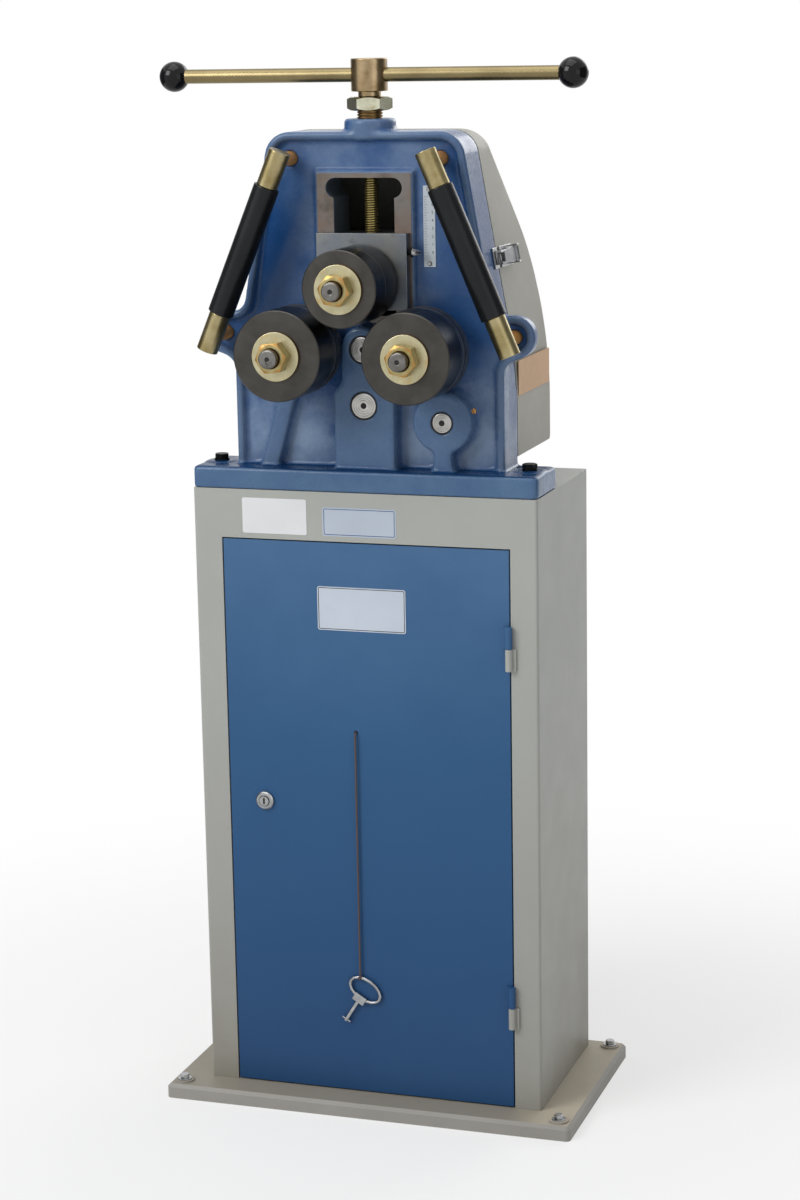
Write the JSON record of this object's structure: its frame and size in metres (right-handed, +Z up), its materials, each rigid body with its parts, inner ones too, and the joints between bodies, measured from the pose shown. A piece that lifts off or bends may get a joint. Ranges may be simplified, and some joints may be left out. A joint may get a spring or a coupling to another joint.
{
  "type": "ring roller",
  "caption": "Manual roll bending machine on a sheet cabinet: a screw-set upper roller between geared lower rollers, side guides, rear cover and crank.",
  "frame": {"origin": "on the floor, on the underside of the base plate, under the middle of the cabinet", "axes": "+X to the operator's right along the handle bar, +Y away from the operator along the roller shafts, +Z up"},
  "size_m": [0.5678, 0.5028, 1.3752],
  "materials": {
    "blue_enamel": "gloss enamel over a cast or sheet surface",
    "grey_enamel": "semi-gloss light grey enamel",
    "base_enamel": "semi-gloss warm grey enamel",
    "yellow_zinc": "yellow passivated zinc, turned",
    "bright_steel": "bright turned or plated steel",
    "ground_steel": "ground steel",
    "burnished_steel": "burnished tool steel, nearly black",
    "black_oxide": "black oxide, slightly oily",
    "black_plastic": "smooth black plastic",
    "white_plate": "white scale plate",
    "bronze": "turned bearing bronze",
    "cord": "thin braided cord"
  },
  "bodies": {
    "frame": {"base_plate": "base_enamel", "cabinet_shell": "grey_enamel", "cabinet_hinge_upper": "grey_enamel", "cabinet_hinge_lower": "grey_enamel", "frame_casting": "blue_enamel", "foot_bolt_left": "black_oxide", "foot_bolt_right": "black_oxide", "threaded_bush": "yellow_zinc", "scale_plate": "white_plate", "lower_left_bush": "bronze", "lower_right_bush": "bronze", "guide_axle_left": "yellow_zinc", "guide_axle_right": "yellow_zinc", "rear_cover": "grey_enamel", "latch_base_left": "bright_steel", "latch_base_right": "bright_steel", "latch_strike_left": "bright_steel", "latch_strike_right": "bright_steel"},
    "door": {"door_panel": "blue_enamel", "door_hinge_upper": "blue_enamel", "door_hinge_lower": "blue_enamel", "lock_housing": "bright_steel"},
    "lock": {"lock_cylinder": "bright_steel"},
    "key": {"cabinet_key": "bright_steel", "key_cord": "cord"},
    "latch_left": {"latch_lever_left": "bright_steel"},
    "latch_right": {"latch_lever_right": "bright_steel"},
    "guide_left": {"guide_tube_left": "black_plastic"},
    "guide_right": {"guide_tube_right": "black_plastic"},
    "slide": {"slide_block": "ground_steel", "slide_keeper": "ground_steel", "scale_pointer": "bright_steel"},
    "screw": {"lifting_screw": "yellow_zinc", "handle_hub": "yellow_zinc", "handle_bar": "yellow_zinc", "handle_ball_left": "black_plastic", "handle_ball_right": "black_plastic"},
    "lock_nut": {"lock_nut": "yellow_zinc"},
    "upper_roller": {"upper_shaft": "bright_steel", "upper_front_ring": "burnished_steel", "upper_rear_ring": "burnished_steel", "upper_washer": "yellow_zinc", "upper_nut": "yellow_zinc"},
    "lower_left": {"lower_left_shaft": "bright_steel", "lower_left_roller": "burnished_steel", "lower_left_washer": "yellow_zinc", "lower_left_nut": "yellow_zinc", "lower_left_gear": "ground_steel"},
    "lower_right": {"lower_right_shaft": "bright_steel", "lower_right_roller": "burnished_steel", "lower_right_washer": "yellow_zinc", "lower_right_nut": "yellow_zinc", "lower_right_gear": "ground_steel"},
    "idler": {"idler_gear": "ground_steel"},
    "intermediate": {"intermediate_shaft": "ground_steel", "intermediate_gear": "ground_steel"},
    "drive": {"drive_shaft": "bright_steel", "drive_gear": "ground_steel", "crank_arm": "yellow_zinc"},
    "grip": {"crank_grip": "black_plastic"}
  },
  "joints": [
    {"name": "door_swing", "type": "hinge", "parent": "frame", "child": "door", "pos_m": [0.19445, -0.13035, 0.3935], "axis": [0, 0, 1], "range_deg": [0, 110]},
    {"name": "lock_turn", "type": "hinge", "parent": "door", "child": "lock", "pos_m": [-0.1434, -0.12525, 0.4153], "axis": [0, 1, 0], "range_deg": [-90, 0]},
    {"name": "key_swing", "type": "hinge", "parent": "door", "child": "key", "pos_m": [-0.0146, -0.12525, 0.5154], "axis": [0, 1, 0], "range_deg": [-20, 20]},
    {"name": "latch_left_open", "type": "hinge", "parent": "frame", "child": "latch_left", "pos_m": [-0.16562, 0.02095, 1.1261], "axis": [-0.1717, 0, -0.9852], "range_deg": [0, 110]},
    {"name": "latch_right_open", "type": "hinge", "parent": "frame", "child": "latch_right", "pos_m": [0.16562, 0.02095, 1.1261], "axis": [-0.1717, 0, 0.9852], "range_deg": [0, 110]},
    {"name": "guide_left_spin", "type": "hinge", "parent": "frame", "child": "guide_left", "pos_m": [-0.1, -0.13585, 1.2522], "axis": [0.3894, 0, 0.9211], "continuous": true},
    {"name": "guide_right_spin", "type": "hinge", "parent": "frame", "child": "guide_right", "pos_m": [0.1, -0.13585, 1.2522], "axis": [-0.3894, 0, 0.9211], "continuous": true},
    {"name": "slide_travel", "type": "slide", "parent": "frame", "child": "slide", "axis": [0, 0, 1], "range_m": [-0.0046, 0.0602]},
    {"name": "screw_turn", "type": "hinge", "parent": "slide", "child": "screw", "pos_m": [0, -0.06295, 1.35475], "axis": [0, 0, 1], "range_deg": [-540, 7200]},
    {"name": "lock_nut_turn", "type": "hinge", "parent": "frame", "child": "lock_nut", "pos_m": [0, -0.06295, 1.3192], "axis": [0, 0, 1], "range_deg": [-900, 540]},
    {"name": "upper_roller_spin", "type": "hinge", "parent": "slide", "child": "upper_roller", "pos_m": [0, -0.15515, 1.0979], "axis": [0, 1, 0], "continuous": true},
    {"name": "drive_spin", "type": "hinge", "parent": "frame", "child": "drive", "pos_m": [0.10385, 0.029, 0.9226], "axis": [0, 1, 0], "continuous": true},
    {"name": "intermediate_spin", "type": "hinge", "parent": "frame", "child": "intermediate", "pos_m": [0, 0.029, 0.9419], "axis": [0, 1, 0], "continuous": true},
    {"name": "idler_spin", "type": "hinge", "parent": "frame", "child": "idler", "pos_m": [0, -0.002, 1.0134], "axis": [0, 1, 0], "continuous": true},
    {"name": "lower_left_spin", "type": "hinge", "parent": "frame", "child": "lower_left", "pos_m": [-0.0845, -0.15515, 1.0134], "axis": [0, 1, 0], "continuous": true},
    {"name": "lower_right_spin", "type": "hinge", "parent": "frame", "child": "lower_right", "pos_m": [0.0845, -0.15515, 1.0134], "axis": [0, 1, 0], "continuous": true},
    {"name": "grip_spin", "type": "hinge", "parent": "drive", "child": "grip", "pos_m": [0.10385, 0.21, 0.6826], "axis": [0, 1, 0], "continuous": true}
  ],
  "couplings": [
    {"joint": "slide_travel", "follows": "screw_turn", "m_per_rad": 0.00047746},
    {"joint": "intermediate_spin", "follows": "drive_spin", "ratio": -0.625},
    {"joint": "idler_spin", "follows": "drive_spin", "ratio": 0.35714},
    {"joint": "lower_left_spin", "follows": "drive_spin", "ratio": -0.41667},
    {"joint": "lower_right_spin", "follows": "drive_spin", "ratio": -0.41667}
  ]
}
